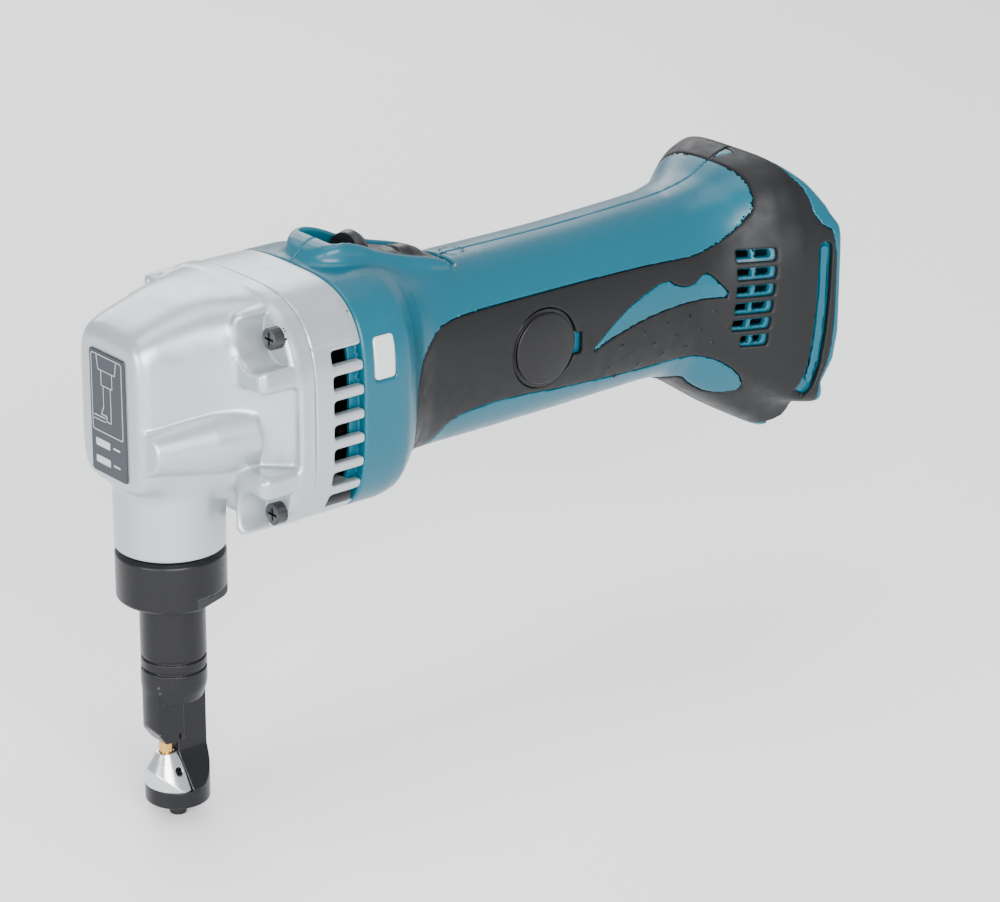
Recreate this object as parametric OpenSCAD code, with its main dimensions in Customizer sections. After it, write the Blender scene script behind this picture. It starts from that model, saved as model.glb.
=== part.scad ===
// Cordless nibbler: a reciprocating sheet-metal cutter with a slide-on battery foot.
// +X runs from the cutting head to the battery foot, +Z is up.
// The origin lies on the die holder's axis, level with the cutting face of the die.

/* [Cutting tool] */
// Outer radius of the die holder tube
tube_r = 10.8; // [10.6:0.1:11]
// Height of the gap between the stripper nose and the die
sheet_gap = 4.2; // [4.1:0.1:4.6]
// Radius of the cutting pin at the punch's end
pin_r = 2.3; // [2.1:0.05:2.4]
// Distance of the cutting pin in front of the tube's axis
pin_offset = 4.2; // [4.1:0.05:4.3]
// Half the thickness of the web that carries the die
web_half = 2.4; // [2:0.1:2.6]
// Radius of the lock nut and of the neck above it
nut_r = 18.1; // [17.8:0.1:18.4]

/* [Drive] */
// Height of the motor's axis above the die's cutting face
motor_z = 116; // [115.8:0.1:116.2]
// Eccentricity of the crank pin, which is half the stroke
crank_e = 2.75; // [2.3:0.05:2.8]
// Gear module
gear_m = 0.8; // [0.75:0.01:0.8]
// Teeth on the crank gear
gear_teeth = 42; // [42:1:42]
// Teeth on the motor pinion
pinion_teeth = 8; // [8:1:8]

/* [Housing] */
// Half-width and half-height of the vent ring
ring_half = 40; // [39.5:0.1:40.5]
// Half-width of the straight part of the handle
handle_half = 24; // [23.8:0.1:24.2]
// Wall thickness of the motor housing, with its grip
shell_wall = 4; // [3.8:0.1:4]
// Thickness of the moulded rubber grip
grip_wall = 2; // [1.8:0.1:2.2]
// Number of cooling slots on each side of the vent ring
vent_slots = 7; // [5:1:7]

/* [Slide switch] */
// Angle at which the slide switch's track falls to the rear
track_angle = 15; // [15:1:15]
// Travel of the slide switch
switch_travel = 6; // [4:0.5:6]

/* [Battery foot] */
// Half-width of the battery foot over its rims
foot_half = 39.5; // [39:0.1:40]
// Half-width of the channel behind the rails
channel_half = 31; // [30.5:0.1:31.5]
// Half-width of the channel's mouth between the rails
mouth_half = 27; // [26:0.1:27.5]

/* [Hidden] */
$fn = 64;
run = 0.05;                     // radial clearance of a running fit
joint_gap = 0.3;                // gap between bodies that move apart
ring_z = 118;                   // height of the vent ring's centre
crank_z = motor_z + gear_m * (gear_teeth + pinion_teeth) / 2;
shank_r = 6.7;
rod_r = 8;
roller_r = 5;
crank_pin_r = 3.5;
shaft_r = 4;
disc_top = -11.8;
disc_bottom = -17.7;
nose_top = 19.5;
nut_low = 55;
nut_high = 73;
flange_low = 57.6;
flange_high = 60;
split_x = 29.4;                 // joint between front casting and vent ring
teal_x = 49;                    // joint between vent ring and motor housing
brush_x = 137;
track_at = [88, 0, 152.4];      // middle of the slide switch's track
pivot_drop = 9;                 // knob pivot below the track's floor
corner_y = 32;                  // gear housing screws
corner_z = 29.5;

// Stations of the outer shape: x, half-width, top, bottom, squareness of the section
HEAD = [
    [-21.6, 16.5, 149.5, 98, 4.5], [-18, 18, 152, 96.5, 4.2], [-10, 20, 155.5, 95, 4],
    [2, 24, 157.8, 93.5, 4], [12, 29.5, 158.4, 90, 3.8], [20, 36, 158.4, 81.5, 3.5],
    [25, 39, 158.4, 79, 3.4], [split_x, ring_half, 158.4, 78, 3.4]];
BODY = [
    [teal_x, ring_half, 158, 78, 3.4], [62, ring_half, 158, 78, 3.4], [68, 39, 157.4, 79, 3.3],
    [73, 36, 156.6, 81, 3.1], [79, 30, 155, 83, 2.9], [84, 26, 153.6, 84.2, 2.8],
    [90, handle_half, 152, 84.6, 2.7], [100, handle_half, 149.3, 84.5, 2.7],
    [110, handle_half, 147.6, 84.5, 2.7], [150, handle_half, 147.3, 84.8, 2.7],
    [190, handle_half, 148.4, 85.5, 2.7], [204, 24.8, 149, 86, 2.8], [213, 27.5, 150.4, 82.5, 2.9],
    [222, 31, 152.6, 76, 3], [232, 34.4, 157, 68, 3], [242, 37.2, 159.4, 60, 2.9],
    [251, 38.9, 159.4, 56.5, 2.9], [259.3, foot_half, 158, 55.5, 2.9]];

function column(table, k) = [for (s = table) [s[0], s[k]]];
function power(v, p) = sign(v) * pow(abs(v), p);

// Points of a superelliptic section that is set in by d
function section(table, x, d, count) =
    let (w = lookup(x, column(table, 1)) - d,
         top = lookup(x, column(table, 2)) - d,
         low = lookup(x, column(table, 3)) + d,
         p = 2 / lookup(x, column(table, 4)))
    [for (i = [0 : count - 1])
        let (a = 360 * (i + 0.5) / count)
        [x, w * power(cos(a), p), (top + low) / 2 + (top - low) / 2 * power(sin(a), p)]];

// Closed skin over the stations of a table, set in by d, with flat ends that stand out by past
module loft(table, d = 0, past = 0, count = 28) {
    last = len(table) - 1;
    xs = [for (i = [0 : last])
        table[i][0] + (i == 0 ? -past : 0) + (i == last ? past : 0)];
    rings = [for (i = [0 : last])
        [for (p = section(table, table[i][0], d, count)) [xs[i], p[1], p[2]]]];
    points = [for (ring = rings) for (p = ring) p];
    sides = [for (i = [0 : last - 1]) for (k = [0 : count - 1])
        let (a = i * count + k, b = i * count + (k + 1) % count)
        each [[a, b + count, b], [a, a + count, b + count]]];
    polyhedron(points,
        concat(sides, [[for (k = [0 : count - 1]) k]],
            [[for (k = [count - 1 : -1 : 0]) last * count + k]]));
}

// Flat superelliptic plate of the vent ring's section
module ring_plate(x0, x1, d = 0) {
    p = 2 / 3.4;
    outline = [for (i = [0 : 55]) let (a = 360 * (i + 0.5) / 56)
        [(ring_half - d) * power(cos(a), p), (ring_half - d) * power(sin(a), p)]];
    translate([x0, 0, ring_z]) rotate([90, 0, 90]) linear_extrude(x1 - x0) polygon(outline);
}

// Cylinder along X between two places
module rod_x(x0, x1, r, y = 0, z = 0) {
    translate([x0, y, z]) rotate([0, 90, 0]) cylinder(h = x1 - x0, r = r);
}

// Cylinder along Y between two places
module rod_y(y0, y1, r, x = 0, z = 0) {
    translate([x, y1, z]) rotate([90, 0, 0]) cylinder(h = y1 - y0, r = r);
}

// Cylinder along Z between two heights
module rod_z(z0, z1, r, x = 0) {
    translate([x, 0, z0]) cylinder(h = z1 - z0, r = r);
}

// Ring along X between two places
module tube_x(x0, x1, r, bore, y = 0, z = 0) {
    difference() {
        rod_x(x0, x1, r, y, z);
        rod_x(x0 - 1, x1 + 1, bore, y, z);
    }
}

// Box between two corners
module span(low, high) {
    translate(low) cube(high - low);
}

// Repeats its children on both sides of the middle plane
module both_sides() {
    children();
    mirror([0, 1, 0]) children();
}

// Places its children at the four gear housing screws
module at_corners() {
    for (y = [-corner_y, corner_y], z = [-corner_z, corner_z])
        translate([0, y, ring_z + z]) children();
}

// ---- Gear housing ----

module front_gear_housing() {
    color("silver") difference() {
        union() {
            loft(HEAD);
            rod_z(nut_high, 112, nut_r);
            rod_z(flange_high + 0.2, nut_high, 15.4);
            hull() {
                rod_x(-20, -19, 7.2, -16.7, 113.7);
                rod_x(13.5, 14.5, 12.3, -19.5, 113.7);
            }
            intersection() {
                at_corners() rod_x(16, split_x, 7.5);
                ring_plate(10, split_x, 0.7);
            }
        }
        difference() {
            intersection() {
                loft(HEAD, 3.6, 1);
                span([-17.8, -60, 60], [40, 60, 180]);
            }
            rod_x(-19, -10, 10, 0, crank_z);
            rod_z(60, 104, 14.5);
            at_corners() rod_x(12, 40, 6);
        }
        at_corners() rod_x(8, 21, 5);
        at_corners() rod_x(20, 40, 2.2);
        rod_x(-17, -9, 7, 0, crank_z);
        rod_z(76, 105, 11);
        rod_z(63, 77, 9);
        rod_z(60, 63.2, 10 + run);
        span([-10.6, -10.6, 150.5], [-4, 10.6, 151.5]);
    }
}

module label_plate() {
    color([0.22, 0.24, 0.26]) difference() {
        span([-22.2, -10, 101], [-21.6, 10, 143]);
        for (y = [-8.6, 8.4]) span([-23, y, 102.6], [-22, y + 0.2, 141.4]);
        for (z = [102.4, 141.4]) span([-23, -8.6, z], [-22, 8.6, z + 0.2]);
    }
}

module vent_ring_housing() {
    pitch = 8.2;
    color("silver") difference() {
        union() {
            difference() {
                ring_plate(split_x, teal_x);
                ring_plate(34, teal_x + 1, 3.4);
                ring_plate(split_x - 1, 31, 3.4);
            }
            rod_x(31, 41.5, 14, 0, motor_z);
            rod_x(25, 34, 12, 0, crank_z);
            at_corners() rod_x(split_x, 34, 6);
        }
        rod_x(34, 43, 11, 0, motor_z);
        rod_x(24, 36, 6, 0, motor_z);
        rod_x(24, 32.5, 9.5, 0, crank_z);
        at_corners() rod_x(20, 60, 2.2);
        both_sides() for (i = [0 : vent_slots - 1])
            span([37, 32, ring_z - 27.6 + pitch * i], [52, 44, ring_z - 22.6 + pitch * i]);
    }
}

module gear_housing_screws() {
    color([0.1, 0.1, 0.1]) at_corners() {
        difference() {
            rod_x(17.4, 21, 3.6);
            for (a = [0, 90]) rotate([a, 0, 0]) span([17, -2.2, -0.4], [19, 2.2, 0.4]);
        }
        rod_x(21, 47, 2.15);
    }
}

// ---- Motor housing, handle and foot ----

// Side view of everything that the rear outline of the foot keeps
module foot_outline() {
    rotate([90, 0, 0]) translate([0, 0, -60]) linear_extrude(120) difference() {
        polygon([[40, 40], [40, 180], [236, 180], [246, 156], [251, 151], [257.5, 143],
            [259.3, 137], [259.3, 98], [257, 88], [252.5, 80], [256, 64], [255, 54], [245, 52],
            [238, 52]]);
        translate([95, 20]) square([30, 4]);
    }
}

// Side view of the moulded grip: round the handle's flank and over the foot
module grip_outline() {
    rotate([90, 0, 0]) translate([0, 0, 0.001]) linear_extrude(60) polygon([
        [84.5, 116], [87, 127], [145, 128.2], [196, 130.5], [204, 138], [214, 150], [222, 170],
        [243, 170], [251, 149], [254.5, 136], [254.5, 100], [249, 82], [236, 74], [222, 74],
        [205, 86], [190, 90.6], [100, 90.6], [90, 95], [85.5, 104]]);
}

// Half of the moulding: the outer shape, hollow, with the grip's recess
module housing_half() {
    difference() {
        union() {
            intersection() {
                difference() {
                    loft(BODY);
                    intersection() {
                        loft(BODY, shell_wall, 1);
                        span([40, -60, 40], [242, 60, 180]);
                    }
                    difference() {
                        grip_outline();
                        loft(BODY, grip_wall, 1);
                    }
                }
                foot_outline();
                span([30, -50, 40], [270, 0, 180]);
            }
            intersection() {
                difference() {
                    ring_plate(43, 53, 3.7);
                    ring_plate(42, 54, 5.6);
                }
                span([30, -50, 40], [270, 0, 180]);
            }
            intersection() {
                switch_hood();
                span([30, -50, 40], [270, 0, 180]);
            }
            intersection() {
                loft(BODY, shell_wall - 1);
                screw_bosses();
            }
            motor_seats();
            intersection() {
                loft(BODY, shell_wall - 1);
                at_corners() rod_x(teal_x, 60, 5);
                span([30, -50, 40], [270, 0, 180]);
            }
        }
        switch_track();
        battery_channel();
        span([236, -14.1, 83.9], [247, 14.1, 128.1]);
        at_corners() rod_x(40, 60, 2.2);
        rod_y(-60, -21.4, 13.9, brush_x, motor_z);
        rod_y(-60, -17, 6, brush_x, motor_z);
        translate([57.4, -40.2, 134.6]) cube([9, 3, 15.4], center = true);
        for (s = SCREWS) rod_y(-13, 1, 1.85, s[0], s[1]);
    }
}

// Places of the handle screws in side view: x, z
SCREWS = [[98, 91.5], [152, 91.5], [184, 139], [200, 94], [212, 139], [228, 90]];

module screw_bosses() {
    for (s = SCREWS) rod_y(-30, 0, 3.8, s[0], s[1]);
}

// Ribs that hold the motor's yoke and its rear bearing
module motor_seats() {
    intersection() {
        difference() {
            for (x = [60, 114]) rod_x(x, x + 3, 26, 0, motor_z);
            rod_x(50, 130, 19.6, 0, motor_z);
            span([50, -9, motor_z], [130, 1, 160]);
        }
        loft(BODY, shell_wall - 1);
        span([30, -50, 40], [270, 0, 180]);
    }
    intersection() {
        difference() {
            rod_x(148.5, 156, 12.5, 0, motor_z);
            rod_x(149.5, 155.5, 9.5, 0, motor_z);
            rod_x(140, 150, 5, 0, motor_z);
        }
        span([140, -50, 40], [170, 0, 180]);
    }
    difference() {
        span([148.5, -22, motor_z - 1.5], [156, -12, motor_z + 1.5]);
        rod_x(140, 160, 12, 0, motor_z);
    }
}

// Raised hood round the front of the slide switch
module switch_hood() {
    rotate([90, 0, 0]) translate([0, 0, -15]) linear_extrude(30) polygon([
        [50, 150], [50, 158.6], [57, 163.4], [66, 163.6], [76, 159.6], [88, 155], [88, 150]]);
}

// Space of the slide switch: the knob's trough, and the slot for its stem
module switch_track() {
    translate(track_at) rotate([0, track_angle, 0]) {
        span([-27, -9.4, 0], [23, 9.4, 20]);
        span([-3.8 - switch_travel, -4, -16], [4, 4, 1]);
    }
    span([60, -8, 136.2], [190, 8, 142.6]);
}

// Battery channel at the rear: open downwards and to the rear between the rails
module battery_channel() {
    span([246, -channel_half, 50], [254.5, channel_half, 139]);
    span([254, -mouth_half, 50], [262, mouth_half, 134]);
}

module left_motor_housing() {
    color([0.13, 0.5, 0.6]) housing_half();
}

module right_motor_housing() {
    color([0.13, 0.5, 0.6]) difference() {
        mirror([0, 1, 0]) housing_half();
        for (s = SCREWS) {
            rod_y(-1, 14, 2.2, s[0], s[1]);
            rod_y(12, 40, 3.9, s[0], s[1]);
        }
    }
}

module grip_half() {
    difference() {
        intersection() {
            loft(BODY);
            grip_outline();
            foot_outline();
        }
        loft(BODY, grip_wall, 1);
        rod_y(-60, 0, 13.9, brush_x, motor_z);
        for (x = [229, 238], i = [0 : 5])
            span([x, -60, 97.5 + 6.4 * i], [x + 6.6, -20, 101 + 6.4 * i]);
        battery_channel();
    }
}

module left_grip() {
    color([0.2, 0.2, 0.22]) grip_half();
}

module right_grip() {
    color([0.2, 0.2, 0.22]) difference() {
        mirror([0, 1, 0]) grip_half();
        for (s = SCREWS) rod_y(12, 60, 3.9, s[0], s[1]);
    }
}

module handle_screws() {
    color([0.3, 0.3, 0.32]) for (s = SCREWS) {
        difference() {
            rod_y(12, 15, 3.6, s[0], s[1]);
            for (a = [0, 90]) translate([s[0], 14, s[1]]) rotate([0, a, 0])
                span([-2, -1, -0.4], [2, 2, 0.4]);
        }
        rod_y(-12, 12, 1.8, s[0], s[1]);
    }
}

module indicator_lenses() {
    color([0.85, 0.87, 0.87]) both_sides()
        translate([57.4, -39.6, 134.6]) cube([8.6, 1.6, 15], center = true);
}

module brush_covers() {
    color([0.16, 0.16, 0.17]) both_sides() difference() {
        rod_y(-24.1, -21.5, 13.7, brush_x, motor_z);
        translate([brush_x + 12.6, -23, motor_z]) cube([4, 4, 5], center = true);
    }
}

// ---- Cutting tool ----

module lock_nut() {
    color([0.2, 0.2, 0.21]) difference() {
        union() {
            rod_z(nut_low + 1, nut_high - joint_gap - 1.5, nut_r);
            translate([0, 0, nut_low]) cylinder(h = 1, r1 = nut_r - 1, r2 = nut_r);
            translate([0, 0, nut_high - joint_gap - 1.5])
                cylinder(h = 1.5, r1 = nut_r, r2 = nut_r - 1.5);
        }
        rod_z(flange_low - joint_gap, nut_high, 15.4 + run);
        rod_z(nut_low - 1, flange_low, tube_r + 0.2);
        for (turn = [-70, 110]) rotate(turn) translate([15.9, -15, nut_low - 1])
            cube([10, 30, 5.3]);
    }
}

// The die holder's lower part is a thin slab, as wide in Y as the cut that it follows
module die_holder() {
    color([0.22, 0.22, 0.23]) difference() {
        union() {
            rod_z(nose_top + 3, flange_low, tube_r);
            translate([0, 0, nose_top]) cylinder(h = 3, r1 = tube_r - 1.6, r2 = tube_r);
            rod_z(flange_low, flange_high, 14);
            rod_z(flange_high, 62.5, 10);
            intersection() {
                rod_z(disc_bottom, nose_top + 3, tube_r);
                union() {
                    span([-20, -web_half, disc_top], [20, web_half, 30]);
                    span([-20, -4.6, sheet_gap], [0, 4.6, 30]);
                    rotate([90, 0, 90]) linear_extrude(20) polygon([
                        [-tube_r, disc_top - 1], [-tube_r, disc_top], [-web_half, -1],
                        [web_half, -1], [tube_r, disc_top], [tube_r, disc_top - 1]]);
                }
            }
            rod_z(disc_bottom, disc_top, tube_r);
        }
        rod_z(nose_top + 0.5, 63, shank_r + run);
        rod_z(0, 30, pin_r + run, -pin_offset);
        rotate([90, 0, 0]) translate([0, 0, -20]) linear_extrude(40) polygon([
            [-20, disc_top], [-0.9, disc_top], [-0.9, 7], [-1.7, 7], [-1.7, sheet_gap],
            [-6.6, sheet_gap], [-20, 23]]);
        for (z = [29.9, 33.9]) rotate_extrude() translate([tube_r - 0.5, z])
            square([2, 1]);
        rod_z(disc_bottom - 1, disc_top + 1, 2.1);
        rod_z(disc_bottom - 1, disc_bottom + 0.01, 0.5);
    }
}

module die() {
    slope = 1.675;
    color([0.85, 0.86, 0.87]) difference() {
        intersection() {
            rod_z(disc_top, 0, tube_r);
            translate([-pin_offset, 0, disc_top])
                cylinder(h = -disc_top, r1 = 3.2 - disc_top / slope, r2 = 3.2);
            span([-20, -20, disc_top], [-0.95, 20, 0]);
        }
        rod_z(-5, 1, pin_r + 0.1, -pin_offset);
        rod_z(-8, -4.9, 2.6, -pin_offset);
        rod_z(disc_top - 1, -8.6, 2);
        translate([-pin_offset, 0, -5.6]) rotate([90, 0, 6]) cylinder(h = 20, r = 1.4);
    }
}

module die_bolt() {
    color([0.2, 0.2, 0.21]) difference() {
        union() {
            rod_z(disc_bottom - 6, disc_bottom, 2.9);
            intersection() {
                rod_z(disc_bottom, -8.7, 1.98);
                span([-5, -5, -30], [5, 5, disc_top]);
            }
            intersection() {
                rod_z(disc_top, -8.7, 1.98);
                span([-5, -5, -30], [-0.95, 5, 0]);
            }
        }
        translate([0, 0, disc_bottom - 7]) cylinder(h = 3.5, r = 1.5, $fn = 6);
    }
}

module punch() {
    color([0.82, 0.65, 0.35]) union() {
        rod_z(-0.5, 24, pin_r, -pin_offset);
        rod_z(24, 62, shank_r);
        rod_z(62, 71, 3.5);
        rod_z(70.4, 74.6, 5.5);
    }
}

// Slider: a frame with a window for the crank roller, on a round guide rod
module slider_yoke() {
    window_h = roller_r + 2 * crank_e + 0.1;
    window_w = roller_r + crank_e + 0.4;
    color([0.6, 0.6, 0.62]) difference() {
        union() {
            span([-5, -window_w - 2.2, crank_z - window_h - 2],
                [5, window_w + 2.2, crank_z + window_h + 2]);
            rod_z(66, crank_z - window_h - 1, rod_r);
        }
        span([-6, -window_w, crank_z - window_h], [6, window_w, crank_z + window_h]);
        rod_z(70, 75, 5.5 + joint_gap);
        rod_z(60, 71, 3.5 + joint_gap);
        span([-20, -5.5 - joint_gap, 70], [0, 5.5 + joint_gap, 75]);
        span([-20, -3.5 - joint_gap, 60], [0, 3.5 + joint_gap, 71]);
    }
}

module guide_sleeve() {
    color([0.72, 0.55, 0.3]) difference() {
        rod_z(77, 104.5, 10.98);
        rod_z(70, 110, rod_r + run);
    }
}

// ---- Crank and gears ----

module crankshaft() {
    color([0.7, 0.7, 0.72]) translate([0, 0, crank_z]) {
        rod_x(-16.5, -9, 4);
        rod_x(-9, -5.5, 7);
        rod_x(-5.5, 8, crank_pin_r, crank_e);
        rod_x(8, 13, 8.5);
        rod_x(13, 25, 5);
        rod_x(25, 32.5, 3.5);
    }
}

module crank_roller() {
    color([0.8, 0.8, 0.82]) tube_x(-5, 5, roller_r, crank_pin_r + run, crank_e, crank_z);
}

// Gear blank with plain trapezoid teeth
function gear_points(teeth) =
    let (pitch_r = gear_m * teeth / 2, tip = pitch_r + 0.8 * gear_m, root = pitch_r - 1.2 * gear_m,
         step = 360 / teeth)
    [for (i = [0 : teeth - 1])
        each [for (c = [[root, -0.34], [tip, -0.1], [tip, 0.1], [root, 0.34]])
            let (a = (i + c[1]) * step) [c[0] * cos(a), c[0] * sin(a)]]];

module crank_gear() {
    color([0.55, 0.55, 0.57]) difference() {
        translate([14, 0, crank_z]) rotate([90, 0, 90])
            rotate([0, 0, -90 + 180 / gear_teeth])
                linear_extrude(9) polygon(gear_points(gear_teeth));
        rod_x(13, 25, 5, 0, crank_z);
        for (i = [0 : 4]) translate([0, 0, crank_z]) rotate([72 * i, 0, 0])
            rod_x(13, 25, 2.6, 0, 10.6);
    }
}

module motor_pinion() {
    color([0.6, 0.6, 0.62]) translate([13, 0, motor_z]) rotate([90, 0, 90])
        rotate([0, 0, 90]) linear_extrude(13) polygon(gear_points(pinion_teeth));
}

module crank_front_bush() {
    color([0.75, 0.75, 0.77]) tube_x(-17, -9.8, 7, 4 + run, 0, crank_z);
}

module crank_rear_bearing() {
    color([0.75, 0.75, 0.77]) tube_x(26.4, 32.4, 9.5, 3.5 + run, 0, crank_z);
}

// ---- Motor ----

module armature_shaft() {
    color([0.7, 0.7, 0.72]) {
        rod_x(26, 148, shaft_r, 0, motor_z);
        rod_x(148, 155.3, 3, 0, motor_z);
    }
}

module front_motor_bearing() {
    color([0.75, 0.75, 0.77]) tube_x(34, 41, 11, shaft_r + run, 0, motor_z);
}

module rear_motor_bearing() {
    color([0.75, 0.75, 0.77]) tube_x(149.6, 155.4, 9.5, 3 + run, 0, motor_z);
}

module armature_core() {
    color([0.45, 0.45, 0.47]) translate([0, 0, motor_z]) difference() {
        rod_x(68, 110, 13.3);
        rod_x(60, 120, shaft_r);
        for (i = [0 : 11]) rotate([30 * i, 0, 0]) {
            span([60, -1.6, 7], [120, 1.6, 11.6]);
            span([60, -0.6, 10], [120, 0.6, 15]);
        }
    }
}

module armature_windings() {
    color([0.72, 0.4, 0.18]) translate([0, 0, motor_z]) {
        for (x = [62, 110]) tube_x(x, x + 6, 12.4, shaft_r + 0.5);
        for (i = [0 : 11]) rotate([30 * i, 0, 0]) span([67, -1.5, 7.1], [111, 1.5, 11.5]);
    }
}

module commutator() {
    color([0.75, 0.45, 0.25]) translate([0, 0, motor_z]) difference() {
        rod_x(129, 145, 9.5);
        rod_x(128, 146, shaft_r);
        for (i = [0 : 11]) rotate([30 * i, 0, 0]) span([128, -0.25, 8.4], [146, 0.25, 12]);
    }
}

module cooling_fan() {
    blades = 14;
    color([0.15, 0.15, 0.16]) translate([0, 0, motor_z]) {
        difference() {
            union() {
                rod_x(44.5, 54, 8);
                rod_x(52.4, 54, 31);
            }
            rod_x(40, 60, shaft_r);
        }
        for (i = [0 : blades - 1]) rotate([360 / blades * i, 0, 0])
            span([45.5, -0.7, 12], [52.4, 0.7, 31]);
    }
}

module motor_yoke() {
    color([0.5, 0.5, 0.52]) tube_x(59, 121, 19.5, 17.6, 0, motor_z);
}

module stator_magnets() {
    color([0.25, 0.25, 0.27]) both_sides() intersection() {
        tube_x(66, 112, 17.55, 13.8, 0, motor_z);
        translate([0, 0, motor_z]) rotate([45, 0, 0]) span([60, -30, 0], [120, 0, 30]);
    }
}

module brush_holder() {
    color([0.45, 0.3, 0.2]) difference() {
        union() {
            tube_x(131, 143, 19.4, 16.5, 0, motor_z);
            both_sides() span([132, -18, motor_z - 5], [142, -11, motor_z + 5]);
        }
        both_sides() span([133.5, -25, motor_z - 3.2], [140.5, -9, motor_z + 3.2]);
        span([130, -9, motor_z + 10], [145, 9, motor_z + 25]);
    }
}

module carbon_brushes() {
    color([0.12, 0.12, 0.12]) both_sides()
        span([133.6, -15, motor_z - 3.1], [140.4, -9.6, motor_z + 3.1]);
}

module brush_springs() {
    coils = 5;
    pitch = 1.15;
    color([0.7, 0.7, 0.72]) both_sides() for (i = [0 : coils - 1])
        translate([brush_x, -15.5 - pitch * i, motor_z]) rotate([90, 0, 0])
            rotate_extrude() translate([2.2, 0]) circle(r = 0.45);
}

// ---- Slide switch ----

// Places its children in the track's own frame, which falls to the rear
module on_track() {
    translate(track_at) rotate([0, track_angle, 0]) children();
}

module switch_knob() {
    color([0.12, 0.12, 0.13]) on_track() difference() {
        union() {
            span([-18, -8.4, 1.2], [18, 8.4, 3.4]);
            rotate([90, 0, 0]) translate([0, 0, -8]) linear_extrude(16) polygon([
                [-18, 3], [-17, 8.6], [-14.5, 9.6], [-12.5, 8.8], [-10.5, 4.6], [-6, 4], [-2, 5.4],
                [5, 6], [13, 5.2], [18, 3]]);
            span([-2.6, -2.6, -pivot_drop - 2.4], [2.6, 2.6, 1.5]);
        }
        translate([0, 0, -pivot_drop]) rod_y(-5, 5, 1 + run);
    }
}

module switch_link() {
    on_track() color([0.25, 0.25, 0.27]) difference() {
        both_sides() span([-3, -3.9, -15], [3, -2.9, -6]);
        translate([0, 0, -pivot_drop]) rod_y(-5, 5, 1);
    }
    color([0.25, 0.25, 0.27]) {
        span([78, -4, 137.4], [178, 4, 138.9]);
        span([172, -3, 131], [178, 3, 137.4]);
    }
}

module knob_pin() {
    color([0.7, 0.7, 0.72]) on_track() translate([0, 0, -pivot_drop]) rod_y(-3.9, 3.9, 1);
}

module switch_body() {
    color([0.15, 0.15, 0.16]) difference() {
        span([160, -9, 108], [190, 9, 134.5]);
        span([164, -4, 130], [179, 4, 136]);
    }
}

// ---- Battery foot ----

module terminal_block() {
    color([0.12, 0.12, 0.13]) union() {
        span([240, -14, 84], [245.9, 14, 128]);
        span([245.9, -12, 100], [248, 12, 124]);
    }
}

module terminal_blades() {
    color([0.75, 0.7, 0.5]) for (y = [-8.5, 0, 8.5])
        span([248, y - 0.5, 104], [253.4, y + 0.5, 120]);
}

// Two leads from the switch to the terminal block, inside the handle
module lead_wires() {
    route = [[190.6, 0, 120], [204, 0, 116], [222, 0, 104], [239.4, 0, 98]];
    color([0.6, 0.1, 0.1]) for (y = [-5, 5], i = [0 : len(route) - 2]) {
        a = route[i] + [0, y, 0];
        b = route[i + 1] + [0, y, 0];
        d = b - a;
        translate(a) rotate([0, 90 - atan2(d[2], d[0]), 0]) cylinder(h = norm(d), r = 1.1);
    }
}

front_gear_housing();
vent_ring_housing();
gear_housing_screws();
label_plate();
left_motor_housing();
right_motor_housing();
left_grip();
right_grip();
handle_screws();
indicator_lenses();
brush_covers();
lock_nut();
die_holder();
die();
die_bolt();
punch();
slider_yoke();
guide_sleeve();
crankshaft();
crank_gear();
crank_roller();
crank_front_bush();
crank_rear_bearing();
motor_pinion();
armature_shaft();
armature_core();
armature_windings();
commutator();
cooling_fan();
front_motor_bearing();
rear_motor_bearing();
motor_yoke();
stator_magnets();
brush_holder();
carbon_brushes();
brush_springs();
switch_knob();
switch_link();
knob_pin();
switch_body();
terminal_block();
terminal_blades();
lead_wires();
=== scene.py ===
"""Looks of the cordless nibbler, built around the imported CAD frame.

Castings, mouldings and turned parts are modelled as smooth solid fields in millimetres and
meshed by surface nets, so their blends and edge radii are real geometry.
"""
import math

import bpy
import numpy as np
from mathutils import Matrix, Vector


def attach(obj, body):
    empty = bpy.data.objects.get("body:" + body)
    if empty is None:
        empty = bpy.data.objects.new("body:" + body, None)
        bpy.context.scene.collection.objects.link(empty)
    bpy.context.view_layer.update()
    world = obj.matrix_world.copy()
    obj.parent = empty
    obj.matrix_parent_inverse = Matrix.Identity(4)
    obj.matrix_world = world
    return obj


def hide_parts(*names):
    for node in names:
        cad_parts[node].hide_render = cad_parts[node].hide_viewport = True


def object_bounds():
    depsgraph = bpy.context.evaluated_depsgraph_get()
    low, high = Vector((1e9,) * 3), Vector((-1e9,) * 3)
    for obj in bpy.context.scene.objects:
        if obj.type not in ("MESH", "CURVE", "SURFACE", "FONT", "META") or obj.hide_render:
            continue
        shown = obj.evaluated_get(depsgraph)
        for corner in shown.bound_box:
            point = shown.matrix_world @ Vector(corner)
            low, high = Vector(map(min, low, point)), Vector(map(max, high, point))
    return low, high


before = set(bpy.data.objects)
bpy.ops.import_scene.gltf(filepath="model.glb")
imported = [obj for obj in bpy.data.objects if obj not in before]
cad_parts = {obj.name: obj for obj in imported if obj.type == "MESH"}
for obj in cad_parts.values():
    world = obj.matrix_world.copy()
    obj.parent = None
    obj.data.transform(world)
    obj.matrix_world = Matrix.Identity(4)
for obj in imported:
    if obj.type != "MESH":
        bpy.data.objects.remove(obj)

CAD_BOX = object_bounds()
MM = 0.001
COARSE = 1.0

# ---- Driving sizes, in millimetres and radians ----

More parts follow.
